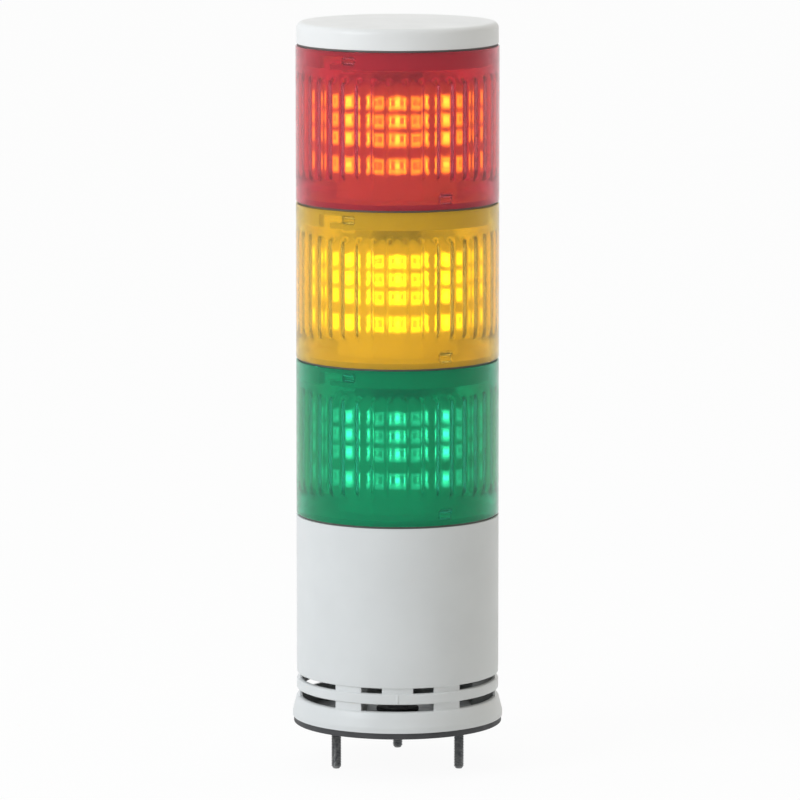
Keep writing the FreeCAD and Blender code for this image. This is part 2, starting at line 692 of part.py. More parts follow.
def contact_springs(label, level):
    body = new_body(label, level)
    pad(body, spring_row(sketch(body, f"-{SPRING_END}")), "spring_out + spring_in")


def light_unit(colour, level):
    lens(f"{colour}_lens", level)
    unit_base(f"{colour}_unit_base", level)
    ring_seal(f"{colour}_seal", level)
    reflector_tower(f"{colour}_reflector", level)
    led_boards(f"{colour}_led_boards", level)
    led_chips(f"{colour}_led_chips", level)
    link_board(f"{colour}_link_board", level)
    track_board(f"{colour}_track_board", f"{level} + {TOWER_TOP}")
    contact_springs(f"{colour}_contact_springs", level)


def head_cover():
    """The white cover on top, with a spigot like that of a light unit."""
    body = new_body("head_cover", HEAD_SEAM)
    revolve(body, [
        ("0", "cap_height - cap_wall"),
        (SPIGOT_INSIDE, "cap_height - cap_wall"),
        (SPIGOT_INSIDE, "-spigot_depth"),
        (SPIGOT_OUTSIDE, "-spigot_depth"),
        (SPIGOT_OUTSIDE, "0"),
        (CAP_RADIUS, "0"),
        (CAP_RADIUS, "cap_height"),
        ("0", "cap_height"),
    ])
    doc.recompute()
    cover = body.Tip
    top = value("cap_height") - TOUCH
    rims = [f"Edge{number}" for number, edge in enumerate(cover.Shape.Edges, 1) if edge.BoundBox.ZMin > top]
    rounding = body.newObject("PartDesign::Fillet", "Rounding")
    rounding.Base = (cover, rims)
    bind(rounding, "Radius", "cap_edge")
    spigot_slots(body)


base_gasket()
base_plate()
mounting_studs()
screws("base_screws", "gasket_thick", "screw_radius", "screw_length", upright=False)
base_housing()
cable_grommet()
control_board()
screws("board_screws", BOARD_TOP, "board_screw_radius", "board_screw_length", upright=True)
terminal_block()
terminal_screws()
capacitors()
switching_transistors()
buzzer()
volume_trimmer()
volume_rotor()
feed_column()
feed_ribbon()
track_board("feed_track_board", f"{FEED_TOP} - track_thick")
for place, colour in enumerate(("green", "amber", "red")):
    light_unit(colour, f"({FIRST_SEAM} + {place} * unit_pitch)")
head_cover()
ring_seal("head_seal", HEAD_SEAM)
doc.recompute()

for item in doc.Objects:
    if "Invalid" in item.State or "Error" in item.State:
        raise RuntimeError(f"{item.Label} could not be built: {item.State}")
bodies = [item for item in doc.Objects if item.TypeId == "PartDesign::Body"]
for item in bodies:
    if item.Shape.isNull() or not item.Shape.isValid():
        raise RuntimeError(f"{item.Label} has no sound shape")

os.makedirs("parts", exist_ok=True)
for item in bodies:
    item.Shape.exportStep(f"parts/{item.Label}.step")
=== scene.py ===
import bmesh
import bpy
import numpy as np
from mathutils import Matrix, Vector


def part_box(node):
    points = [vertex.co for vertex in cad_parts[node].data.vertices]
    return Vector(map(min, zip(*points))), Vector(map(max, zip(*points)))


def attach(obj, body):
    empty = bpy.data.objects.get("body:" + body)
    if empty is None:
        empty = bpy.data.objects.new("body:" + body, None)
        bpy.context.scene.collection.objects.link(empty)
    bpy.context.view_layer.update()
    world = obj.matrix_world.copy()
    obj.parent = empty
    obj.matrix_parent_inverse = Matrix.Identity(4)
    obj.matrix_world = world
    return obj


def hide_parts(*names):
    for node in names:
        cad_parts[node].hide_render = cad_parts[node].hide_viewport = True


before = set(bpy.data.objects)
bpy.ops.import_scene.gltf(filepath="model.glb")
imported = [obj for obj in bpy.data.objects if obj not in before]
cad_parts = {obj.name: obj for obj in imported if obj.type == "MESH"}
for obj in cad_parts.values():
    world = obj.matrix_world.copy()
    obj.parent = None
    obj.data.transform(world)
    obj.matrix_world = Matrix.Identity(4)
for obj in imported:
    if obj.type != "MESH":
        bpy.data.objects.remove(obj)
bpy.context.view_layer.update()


# Foot gasket. A flat ring die-cut from black nitrile rubber, 3 mm thick, that lies between the
# foot and the machine. Its cut edges are a little rounded and its faces carry a fine sheen.

def paint(red, green, blue):
    """A colour from 0 to 255 a channel, turned into the linear light that a shader wants."""
    part = np.array([red, green, blue]) / 255
    linear = np.where(part <= 0.04045, part / 12.92, ((part + 0.055) / 1.055) ** 2.4)
    return (*(float(channel) for channel in linear), 1.0)


def finish(name, colour, roughness, metallic=0.0):
    """A Principled finish with its even colour, roughness and metal share on its own sockets."""
    material = bpy.data.materials.new(name)
    material.use_nodes = True
    shader = material.node_tree.nodes["Principled BSDF"]
    shader.inputs["Base Color"].default_value = colour
    shader.inputs["Roughness"].default_value = roughness
    shader.inputs["Metallic"].default_value = metallic
    return material


def speckle(material, size, detail=2.0, stretch=(1, 1, 1)):
    """Noise in object space with spots of about the size, drawn out by stretch along an axis."""
    nodes, links = material.node_tree.nodes, material.node_tree.links
    place = nodes.new("ShaderNodeTexCoord")
    scaled = nodes.new("ShaderNodeMapping")
    scaled.inputs["Scale"].default_value = [1 / (size * part) for part in stretch]
    noise = nodes.new("ShaderNodeTexNoise")
    noise.inputs["Scale"].default_value = 1
    noise.inputs["Detail"].default_value = detail
    links.new(place.outputs["Object"], scaled.inputs["Vector"])
    links.new(scaled.outputs["Vector"], noise.inputs["Vector"])
    return noise.outputs["Fac"]


def grained(material, size, depth, detail=2.0, stretch=(1, 1, 1)):
    """Raise a grain on the surface: spots of the size that stand proud by the depth."""
    bump = material.node_tree.nodes.new("ShaderNodeBump")
    bump.inputs["Distance"].default_value = depth
    shader = material.node_tree.nodes["Principled BSDF"]
    height = speckle(material, size, detail, stretch)
    material.node_tree.links.new(height, bump.inputs["Height"])
    material.node_tree.links.new(bump.outputs["Normal"], shader.inputs["Normal"])
    return material


def graded(tree, source, start, end, first, last):
    """A number that runs from first to last as its source runs from start to end."""
    grade = tree.nodes.new("ShaderNodeMapRange")
    for place, value in zip(("From Min", "From Max", "To Min", "To Max"), (start, end, first, last)):
        grade.inputs[place].default_value = value
    tree.links.new(source, grade.inputs["Value"])
    return grade.outputs["Result"]


def drifting(material, socket, low, high, size):
    """Let one number of the shader wander between low and high with a noise of the size."""
    tree = material.node_tree
    spread = graded(tree, speckle(material, size), 0.3, 0.7, low, high)
    tree.links.new(spread, tree.nodes["Principled BSDF"].inputs[socket])


def softened(corners, radii, steps=5):
    """An open profile with its inner corners rounded.

    Each arc's centre lies on its corner's bisector, at radius / sin(half the corner), and its
    spokes turn evenly from one tangent point to the other. One more point each side keeps the
    shading of the flats apart from that of the arc."""
    corners = np.array(corners, float)
    radii = np.broadcast_to(np.asarray(radii, float), len(corners) - 2)[:, None]
    middle = corners[1:-1]
    back = corners[:-2] - middle
    ahead = corners[2:] - middle
    back = back / np.linalg.norm(back, axis=1, keepdims=True)
    ahead = ahead / np.linalg.norm(ahead, axis=1, keepdims=True)
    half = np.arccos(np.clip((back * ahead).sum(1, keepdims=True), -1, 1)) / 2
    centre = middle + (back + ahead) / (2 * np.cos(half)) * radii / np.sin(half)
    reach = radii / np.tan(half)
    first = middle + back * reach - centre
    last = middle + ahead * reach - centre
    turn = (np.pi - 2 * half)[..., None]
    step = np.linspace(0, 1, steps)[None, :, None]
    leaving = np.sin((1 - step) * turn) * first[:, None]
    coming = np.sin(step * turn) * last[:, None]
    arcs = centre[:, None] + (leaving + coming) / np.sin(turn)
    beyond = 1.4 * reach
    before = (middle + back * beyond)[:, None]
    after = (middle + ahead * beyond)[:, None]
    path = np.concatenate([before, arcs, after], axis=1).reshape(-1, 2)
    return np.concatenate([corners[:1], path, corners[-1:]])


def sheet_faces(rows, columns):
    """Four-sided faces of a grid whose last column joins its first."""
    row, column = np.meshgrid(np.arange(rows - 1), np.arange(columns), indexing="ij")
    beside = (column + 1) % columns
    near, far = row * columns, (row + 1) * columns
    corners = [near + column, near + beside, far + beside, far + column]
    return np.stack(corners, axis=-1).reshape(-1, 4)


def skin(name, points, faces, smooth=True):
    """An object from points and faces, with doubled points welded and spent faces dropped."""
    mesh = bpy.data.meshes.new(name)
    mesh.from_pydata(np.asarray(points).reshape(-1, 3).tolist(), [], np.asarray(faces).tolist())
    piece = bpy.data.objects.new(name, mesh)
    bpy.context.scene.collection.objects.link(piece)
    mesh.validate()
    shape = bmesh.new()
    shape.from_mesh(mesh)
    bmesh.ops.remove_doubles(shape, verts=shape.verts, dist=1e-7)
    shape.to_mesh(mesh)
    shape.free()
    mesh.polygons.foreach_set("use_smooth", np.full(len(mesh.polygons), smooth))
    return piece


def round_axis(radius, level, angle):
    """Points (r cos a, r sin a, z) round the upright axis, from radii, levels and angles."""
    place = np.broadcast_arrays(radius * np.cos(angle), radius * np.sin(angle), level)
    return np.stack(place, axis=-1)


def turned(profile, columns):
    """Points of a profile (r, z) carried round the axis at even angles, in radians."""
    angle = np.arange(columns) / columns * 2 * np.pi
    return round_axis(profile[:, :1], profile[:, 1:], angle)


def turned_piece(name, profile, columns=192):
    """A piece turned from a profile that starts and ends on one point or on the axis."""
    points = turned(profile, columns)
    return skin(name, points, sheet_faces(*points.shape[:2]))


MM = 0.001
rubber = grained(finish("nitrile_rubber", paint(58, 58, 60), 0.62), 0.35 * MM, 0.02 * MM)
drifting(rubber, "Roughness", 0.52, 0.74, 9 * MM)
gasket_profile = np.array([(48, 0), (51.5, 0), (51.5, 3), (44.4, 3), (44.4, 0), (48, 0)]) * MM
gasket = turned_piece("foot_gasket", softened(gasket_profile, 0.35 * MM))
gasket.data.materials.append(rubber)
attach(gasket, "base")
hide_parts("base_gasket")


# Base plate. A 2 mm disc pressed from cold-rolled steel and zinc plated, which closes the foot.
# Plating leaves a faint spangle and the rolling a faint lengthwise grain.

def mottled(material, first, second, size, stretch=(1, 1, 1)):
    """Let the colour wander between two near tones with a noise of the size."""
    tree = material.node_tree
    tones = tree.nodes.new("ShaderNodeValToRGB")
    tones.color_ramp.elements[0].position = 0.35
    tones.color_ramp.elements[0].color = first
    tones.color_ramp.elements[1].position = 0.65
    tones.color_ramp.elements[1].color = second
    tree.links.new(speckle(material, size, 3.0, stretch), tones.inputs["Fac"])
    tree.links.new(tones.outputs["Color"], tree.nodes["Principled BSDF"].inputs["Base Color"])


def dress(material, *nodes):
    """Give CAD nodes a finish."""
    for node in nodes:
        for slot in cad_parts[node].material_slots:
            slot.material = material


zinc = finish("zinc_plating", paint(176, 180, 184), 0.38, metallic=1.0)
mottled(zinc, paint(162, 167, 172), paint(188, 190, 190), 3 * MM)
drifting(zinc, "Roughness", 0.28, 0.46, 1.5 * MM)
grained(zinc, 0.25 * MM, 0.006 * MM, stretch=(8, 1, 1))
dress(zinc, "base_plate", "board_screws", "terminal_screws")


# Mounting studs. Three M5 studs of plated steel, rolled with a 0.8 mm thread, pressed into the
# plate from above. Each has a pointed tip, a knurled neck in the plate and a flat round head.

STUD_CIRCLE = 35 * MM
STUD_ANGLES = np.radians([90, 210, 330])
STUD_TIP, STUD_RADIUS = -21 * MM, 2.5 * MM
TIP_RISE, TIP_TAPER = 1.1 * MM, 0.9 * MM
THREAD_PITCH, THREAD_DEPTH, THREAD_TOP = 0.8 * MM, 0.45 * MM, 1 * MM
NECK_RADIUS, KNURL_DEPTH, KNURLS = 2.9 * MM, 0.12 * MM, 24


def stud_points(columns=28, steps_per_turn=8):
    """One stud round its own axis.

    The thread is r = R - depth * w * |2 f - 1|, where f is the fraction of (z / pitch - a / 2 pi)
    and w fades at the tip. The neck's knurl is a small cosine of 24 a, and the head is round."""
    turns = (THREAD_TOP - STUD_TIP) / THREAD_PITCH
    shank = np.linspace(STUD_TIP, THREAD_TOP, int(turns * steps_per_turn))
    fade = np.clip((shank - STUD_TIP) / TIP_RISE, 0, 1)
    tip = STUD_RADIUS - TIP_TAPER * (1 - fade)
    neck = [(2.5, 2.9), (2.5, 3.0), (2.85, 3.0), (2.9, 3.15), (2.9, 4.85), (2.85, 5.0)]
    head = [(4.35, 5.0), (4.4, 5.0), (4.5, 5.15), (4.5, 6.2), (4.3, 6.4), (4.1, 6.4), (0, 6.4)]
    upper = np.array(neck + head) * MM
    level = np.concatenate([[STUD_TIP], shank, upper[:, 1]])
    radius = np.concatenate([[0], tip, upper[:, 0]])
    cut = np.concatenate([[0], np.minimum(fade + 0.25, 1), 0 * upper[:, 0]])
    knurl = np.concatenate([[0], 0 * shank, np.isclose(upper[:, 0], NECK_RADIUS)])
    angle = np.arange(columns) / columns * 2 * np.pi
    wave = np.mod(level[:, None] / THREAD_PITCH - angle / (2 * np.pi), 1)
    groove = THREAD_DEPTH * cut[:, None] * np.abs(2 * wave - 1)
    around = radius[:, None] - np.where(radius[:, None] > 0, groove, 0)
    around = around - KNURL_DEPTH * knurl[:, None] * (0.5 - 0.5 * np.cos(KNURLS * angle))
    return round_axis(around, level[:, None], angle)


def copies_round(points, circle, angles):
    """A piece set on a circle at each angle: its points move out and turn by the angle."""
    flat = points.reshape(-1, 3)
    cosine, sine = np.cos(angles)[:, None], np.sin(angles)[:, None]
    across = cosine * (flat[:, 0] + circle) - sine * flat[:, 1]
    up = sine * (flat[:, 0] + circle) + cosine * flat[:, 1]
    every = np.stack([across, up, flat[:, 2] + 0 * across], axis=-1)
    faces = sheet_faces(*points.shape[:2])
    offsets = np.arange(len(angles))[:, None, None] * len(flat)
    return every, (faces + offsets).reshape(-1, faces.shape[-1])


studs = skin("threaded_studs", *copies_round(stud_points(), STUD_CIRCLE, STUD_ANGLES))
stud_steel = finish("stud_steel", paint(112, 113, 115), 0.34, metallic=1.0)
mottled(stud_steel, paint(96, 98, 101), paint(126, 127, 126), 2 * MM)
drifting(stud_steel, "Roughness", 0.26, 0.48, 0.8 * MM)
studs.data.materials.append(stud_steel)
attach(studs, "base")
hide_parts("mounting_studs")


# Plate screws. Three plated pan-head screws with a cross recess, driven up through the plate
# into the housing's pillars.

SCREW_CIRCLE = 40.5 * MM
SCREW_ANGLES = np.radians([0, 120, 240])
HEAD_RADIUS, HEAD_CROWN, HEAD_RISE = 3.5 * MM, 1.0 * MM, 0.55 * MM
CROSS_HALF, CROSS_REACH, CROSS_DEPTH = 0.45 * MM, 1.9 * MM, 1.1 * MM
CROSS_SIDE, CROSS_END, CROSS_TAPER = 0.06 * MM, 0.07 * MM, 3.2 * MM


def pan_screw_points(columns=48):
    """A screw with its head down, round its own axis, from the middle of its head to its tip.

    The head's face is a dome z = crown + rise * (r / R)^2.5, and its cross recess pushes the
    face in where a point is near either line of the cross, more so towards the middle."""
    reach = np.array([0, 0.3, 0.6, 0.9, 1.2, 1.5, 1.8, 2.1, 2.5, 2.9, 3.2, 3.4, 3.5]) * MM
    dome = HEAD_CROWN + HEAD_RISE * (reach / HEAD_RADIUS) ** 2.5
    angle = np.arange(columns) / columns * 2 * np.pi
    across, up = reach[:, None] * np.cos(angle), reach[:, None] * np.sin(angle)
    off_line = np.minimum(np.abs(across), np.abs(up))
    slot = 1 / (1 + np.exp((off_line - CROSS_HALF) / CROSS_SIDE))
    ends = 1 / (1 + np.exp((reach[:, None] - CROSS_REACH) / CROSS_END))
    depth = CROSS_DEPTH * slot * ends * (1 - reach[:, None] / CROSS_TAPER)
    face = np.stack([across, up, dome[:, None] + depth], axis=-1)
    shank = np.array([(3.5, 2.9), (3.4, 3.0), (1.9, 3.0), (1.9, 14.2), (1.2, 15.0), (0, 15.0)]) * MM
    return np.concatenate([face, turned(shank, columns)])


plate_screws = skin("plate_screws", *copies_round(pan_screw_points(), SCREW_CIRCLE, SCREW_ANGLES))
plate_screws.data.materials.append(stud_steel)
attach(plate_screws, "base")
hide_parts("base_screws")


# Cable grommet. A soft rubber ring snapped into the middle of the plate, where the cable comes
# in. It is moulded, so all its edges are round.

lower_lip = [(5, 4), (5, 1.2), (10.5, 1.2), (10.5, 3), (8, 3)]
upper_lip = [(8, 5), (10.5, 5), (10.5, 6.8), (5, 6.8), (5, 4)]
grommet_edges = np.array([0.8, 0.7, 0.3, 0.2, 0.2, 0.3, 0.7, 0.8]) * MM
grommet_profile = softened(np.array(lower_lip + upper_lip) * MM, grommet_edges)
grommet = turned_piece("cable_grommet_moulded", grommet_profile, 96)
grommet.data.materials.append(rubber)
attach(grommet, "base")
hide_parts("cable_grommet")


# Housing. One moulding of white ABS with a flared foot, two rows of sound slots that a shallow
# groove joins, an index tick on the front, and a collar with bayonet lugs at the rim. Three
# pillars inside take the screws.

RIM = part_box("base_housing")[1].z
BODY_RADIUS, FOOT_RADIUS, WALL_INSIDE = 50 * MM, 52 * MM, 47.5 * MM
COLLAR_INSIDE, COLLAR_DEPTH = 46.5 * MM, 12 * MM
LOW_SLOT, LOW_HALF = 15 * MM, 1.8 * MM
HIGH_SLOT, HIGH_HALF = 23.5 * MM, 1.3 * MM
SLOT_HALF, WEB_HALF = 21.5, 9.0
GROOVE, GROOVE_MARGIN, GROOVE_EDGE = 1.1 * MM, 0.5 * MM, 0.45 * MM
TICK_PROUD, TICK_FOOT, TICK_TOP = 0.3 * MM, 17.4 * MM, 21.7 * MM
TICK_HALF, TICK_EDGE, TICK_ROUND = 0.62, 0.12, 0.2 * MM
LUG_REACH, LUG_HALF, LUG_EDGE, LUG_ANGLES = 2 * MM, 4.0, 0.5, (0, 120, 240)
LUG_UPPER, LUG_LOWER, LUG_ROUND = 3 * MM, 6 * MM, 0.3 * MM
FRONT = 270.0


def ramp(distance, width):
    """A smooth step from 0 at or below nought to 1 at the width: 3 t^2 - 2 t^3."""
    part = np.clip(distance / width, 0, 1)
    return part * part * (3 - 2 * part)


def off_angle(angle, middle):
    """Degrees from one angle to another, the short way round."""
    return np.abs((angle - middle + 180) % 360 - 180)


def columns_with(edges, count):
    """Even angles round the wall in degrees, where those within 0.45 of a step of an edge
    give way to it."""
    even = np.arange(count) * 360 / count
    edges = np.unique(np.round(np.asarray(edges) % 360, 6))
    far = np.all(off_angle(even[:, None], edges[None, :]) > 0.45 * 360 / count, axis=1)
    return np.sort(np.concatenate([even[far], edges]))


def wall_faces(solid):
    """Faces of a wall with openings: its cells are solid or open, on a grid closed round.

    The outer points come first and the inner ones after. A solid cell gets a face on each skin,
    and every border between a solid cell and an open one gets a face through the wall."""
    rows, columns = solid.shape[0] + 1, solid.shape[1]
    inner = rows * columns
    row, column = np.meshgrid(np.arange(rows), np.arange(columns), indexing="ij")
    here = row * columns + column
    beside = row * columns + (column + 1) % columns
    outside = np.stack([here[:-1], beside[:-1], beside[1:], here[1:]], axis=-1)[solid]
    inside = outside[:, ::-1] + inner
    below = np.concatenate([np.zeros((1, columns), bool), solid])
    above = np.concatenate([solid, np.zeros((1, columns), bool)])
    flat = np.stack([here, beside, beside + inner, here + inner], axis=-1)
    tops, floors = flat[below & ~above], flat[above & ~below][:, ::-1]
    upright = np.stack([here[:-1], here[:-1] + inner, here[1:] + inner, here[1:]], axis=-1)
    left = np.roll(solid, 1, axis=1)
    ends, starts = upright[left & ~solid], upright[solid & ~left][:, ::-1]
    return np.concatenate([outside, inside, tops, floors, ends, starts])


def lugs_inside(angle, level, rim):
    """How far the bayonet lugs reach inwards: three of 8 degrees, 3 mm high, 3 mm below a rim."""
    beside = np.min([off_angle(angle, middle) for middle in LUG_ANGLES], axis=0)
    across = ramp(LUG_HALF - beside, LUG_EDGE)
    up = ramp(level - (rim - LUG_LOWER), LUG_ROUND) * ramp(rim - LUG_UPPER - level, LUG_ROUND)
    return LUG_REACH * across * up


def soften_edges(piece, width):
    """Round a piece's sharp edges, as its mould does."""
    bevel = piece.modifiers.new("Softened edges", "BEVEL")
    bevel.width = width
    bevel.segments = 2
    bevel.limit_method = "ANGLE"
    bevel.angle_limit = np.radians(50)


slot_middles = [FRONT + group * 60 for group in range(6)]
slot_edges = [middle + side * SLOT_HALF for middle in slot_middles for side in (-1, 1)]
web_edges = [FRONT - WEB_HALF, FRONT + WEB_HALF]
tick_edges = [FRONT + side * (TICK_HALF - part) for side in (-1, 1) for part in (0, TICK_EDGE)]
lug_edges = [middle + side * (LUG_HALF - part)
             for middle in LUG_ANGLES for side in (-1, 1) for part in (0, LUG_EDGE)]
housing_angle = columns_with(slot_edges + tick_edges + lug_edges + web_edges, 240)
foot_rows = [3, 3.25, 5.0, 5.5, 6.1, 9.0]
low_slot_rows = [12.4, 12.8, 13.2, 16.8, 17.2, 17.5, 17.7]
high_slot_rows = [21.4, 21.6, 21.8, 22.2, 24.8, 25.2]
wall_level = np.array(foot_rows + low_slot_rows + high_slot_rows + [30, 45, 60, 80]) * MM
rim_level = RIM - np.array([7, 6, 5.7, 3.3, 3, 1, 0.4, 0]) * MM
outer_level = np.concatenate([wall_level, RIM - np.array([12.6, 11.4]) * MM, rim_level])
inner_level = np.concatenate([wall_level, 2 * [RIM - COLLAR_DEPTH], rim_level])
level, angle = outer_level[:, None], housing_angle[None, :]
flare_levels = np.array([3, 5.5, 13.5]) * MM
flare = np.interp(outer_level, flare_levels, [FOOT_RADIUS, FOOT_RADIUS, BODY_RADIUS])[:, None]
low_groove, high_groove = (
    ramp(level - (middle - half - GROOVE_MARGIN), GROOVE_EDGE)
    * ramp(middle + half + GROOVE_MARGIN - level, GROOVE_EDGE)
    for middle, half in ((LOW_SLOT, LOW_HALF), (HIGH_SLOT, HIGH_HALF)))
tick_height = ramp(level - TICK_FOOT, TICK_ROUND) * ramp(TICK_TOP - level, TICK_ROUND)
tick = TICK_PROUD * ramp(TICK_HALF - off_angle(angle, FRONT), TICK_EDGE) * tick_height
outer_radius = flare - GROOVE * np.maximum(low_groove, high_groove) + tick
# The inner wall steps in to the collar between two rows at one height.
inner_rows = [len(wall_level) + 1, len(rim_level) + 1]
inner_wall = np.repeat([WALL_INSIDE, COLLAR_INSIDE], inner_rows)[:, None]
inner_radius = inner_wall - lugs_inside(angle, inner_level[:, None], RIM)
middle_level = (outer_level[:-1] + outer_level[1:])[:, None] / 2
middle_angle = (housing_angle + (np.roll(housing_angle, -1) - housing_angle) % 360 / 2)[None, :]
beside_slot = np.min([off_angle(middle_angle, middle) for middle in slot_middles], axis=0)
in_span = beside_slot < SLOT_HALF
in_web = off_angle(middle_angle, FRONT) < WEB_HALF
open_low = (np.abs(middle_level - LOW_SLOT) < LOW_HALF) & in_span
open_high = (np.abs(middle_level - HIGH_SLOT) < HIGH_HALF) & in_span & ~in_web
housing_turn = np.radians(housing_angle)
housing_points = np.stack([round_axis(outer_radius, outer_level[:, None], housing_turn),
                           round_axis(inner_radius, inner_level[:, None], housing_turn)])
housing = skin("housing_shell", housing_points, wall_faces(~(open_low | open_high)))
soften_edges(housing, 0.3 * MM)
white_abs = finish("white_abs", paint(222, 223, 223), 0.42)
mottled(white_abs, paint(220, 221, 221), paint(224, 225, 225), 30 * MM)
grained(white_abs, 0.45 * MM, 0.012 * MM, detail=3)
drifting(white_abs, "Roughness", 0.38, 0.5, 14 * MM)
housing.data.materials.append(white_abs)
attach(housing, "base")
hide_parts("base_housing")

PILLAR_HALF, PILLAR_INNER, PILLAR_OUTER, PILLAR_END = 4 * MM, 36.5 * MM, 48.75 * MM, 42.6 * MM
pillar_corners = np.array([(0, -1), (1, -1), (1, 1), (-1, 1), (-1, -1), (0, -1)]) * PILLAR_HALF
pillar_section = softened(pillar_corners, 0.8 * MM, 4)[:-1]
pillar_rows = np.array([(0, 5), (0.98, 5), (1, 5.2), (1, 47.8), (0.98, 48), (0, 48)])
pillar_stretch = (PILLAR_OUTER - PILLAR_INNER) / (2 * PILLAR_HALF)
pillar_across = (PILLAR_INNER + PILLAR_OUTER) / 2 + pillar_section[:, 0] * pillar_stretch
one_pillar = np.stack([
    pillar_rows[:, :1] * (pillar_across - PILLAR_END) + PILLAR_END,
    pillar_rows[:, :1] * pillar_section[:, 1],
    pillar_rows[:, 1:] * MM + 0 * pillar_across,
], axis=-1)
pillars = skin("screw_pillars", *copies_round(one_pillar, 0, SCREW_ANGLES), smooth=False)
pillars.data.materials.append(white_abs)
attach(pillars, "base")


# Control board and what it carries. A green glass-fibre board hangs in the housing with a
# screw-terminal block, two capacitors, four switching transistors, a buzzer and its volume
# trimmer under it, so that all are reached when the plate is off.

COLOURS = ("green", "amber", "red")

board_green = finish("board_lacquer", paint(28, 96, 62), 0.3)
mottled(board_green, paint(22, 84, 53), paint(38, 112, 74), 1.6 * MM)
grained(board_green, 0.4 * MM, 0.01 * MM)
dress(board_green, "control_board", *(f"{colour}_link_board" for colour in COLOURS))

terminal_green = grained(finish("terminal_polyamide", paint(46, 132, 84), 0.42), 0.3 * MM, 0.01 * MM)
mottled(terminal_green, paint(42, 126, 80), paint(52, 140, 90), 5 * MM)
dress(terminal_green, "terminal_block")

capacitor_sleeve = finish("capacitor_sleeve", paint(34, 36, 44), 0.28)
mottled(capacitor_sleeve, paint(30, 32, 40), paint(44, 46, 54), 4 * MM)
dress(capacitor_sleeve, "capacitors")

black_epoxy = grained(finish("black_epoxy", paint(30, 30, 31), 0.5), 0.25 * MM, 0.012 * MM)
mottled(black_epoxy, paint(27, 27, 28), paint(38, 38, 38), 4 * MM)
dress(black_epoxy, "switching_transistors")

buzzer_black = grained(finish("buzzer_black_nylon", paint(72, 73, 75), 0.5), 0.25 * MM, 0.012 * MM)
mottled(buzzer_black, paint(68, 69, 71), paint(78, 79, 81), 4 * MM)
dress(buzzer_black, "buzzer")

trimmer_blue = grained(finish("trimmer_blue_nylon", paint(34, 78, 150), 0.4), 0.2 * MM, 0.008 * MM)
mottled(trimmer_blue, paint(30, 72, 142), paint(40, 86, 160), 3 * MM)
dress(trimmer_blue, "volume_trimmer")

rotor_white = grained(finish("rotor_white_nylon", paint(226, 224, 214), 0.4), 0.2 * MM, 0.006 * MM)
mottled(rotor_white, paint(220, 218, 208), paint(232, 230, 222), 2 * MM)
dress(rotor_white, "volume_rotor")


# Feed column, unit bases, flat cable, track boards and springs. Pale grey ABS mouldings hold a
# flat cable and boards with gold-plated ring tracks, and the next unit's bronze springs reach
# down to those, so that the supply passes up the stack.

grey_abs = finish("grey_abs", paint(229, 229, 228), 0.45)
mottled(grey_abs, paint(226, 226, 225), paint(232, 232, 231), 20 * MM)
grained(grey_abs, 0.4 * MM, 0.012 * MM)
dress(grey_abs, "feed_column", *(f"{colour}_unit_base" for colour in COLOURS))

ribbon_grey = finish("ribbon_vinyl", paint(150, 150, 152), 0.5)
mottled(ribbon_grey, paint(128, 128, 131), paint(170, 170, 171), 0.6 * MM, stretch=(1, 100, 100))
dress(ribbon_grey, "feed_ribbon")


def reckon(tree, operation, *terms):
    """One step of a shader's arithmetic, on sockets or on plain numbers."""
    step = tree.nodes.new("ShaderNodeMath")
    step.operation = operation
    for term, place in zip(terms, step.inputs):
        if isinstance(term, bpy.types.NodeSocket):
            tree.links.new(term, place)
        else:
            place.default_value = term
    return step.outputs["Value"]


TRACK_STEP, TRACK_HALF, TRACK_EDGE = 2 * MM, 0.40 * MM, 0.06 * MM
TRACK_GROUND = paint(230, 230, 224)
track_gold = finish("ring_tracks", TRACK_GROUND, 0.28)
tree = track_gold.node_tree
track_place = tree.nodes.new("ShaderNodeTexCoord")
track_flat = tree.nodes.new("ShaderNodeMapping")
track_flat.inputs["Scale"].default_value = (1, 1, 0)
track_reach = tree.nodes.new("ShaderNodeVectorMath")
track_reach.operation = "LENGTH"
track_tones = tree.nodes.new("ShaderNodeValToRGB")
track_tones.color_ramp.elements[0].color = paint(214, 172, 96)
track_tones.color_ramp.elements[1].color = TRACK_GROUND
tree.links.new(track_place.outputs["Object"], track_flat.inputs["Vector"])
tree.links.new(track_flat.outputs["Vector"], track_reach.inputs[0])
off_track = reckon(tree, "PINGPONG", track_reach.outputs["Value"], TRACK_STEP / 2)
track_side = graded(tree, off_track, TRACK_HALF, TRACK_HALF + TRACK_EDGE, 0, 1)
tree.links.new(track_side, track_tones.inputs["Fac"])
tree.links.new(track_tones.outputs["Color"], tree.nodes["Principled BSDF"].inputs["Base Color"])
dress(track_gold, "feed_track_board", *(f"{colour}_track_board" for colour in COLOURS))

spring_bronze = finish("spring_bronze", paint(206, 162, 92), 0.3, metallic=1.0)
mottled(spring_bronze, paint(196, 150, 82), paint(216, 174, 106), 1 * MM)
dress(spring_bronze, *(f"{colour}_contact_springs" for colour in COLOURS))


# Ring seals. Thin rings of black rubber under each unit, pressed on the rim below, which show
# as dark lines between the colours.

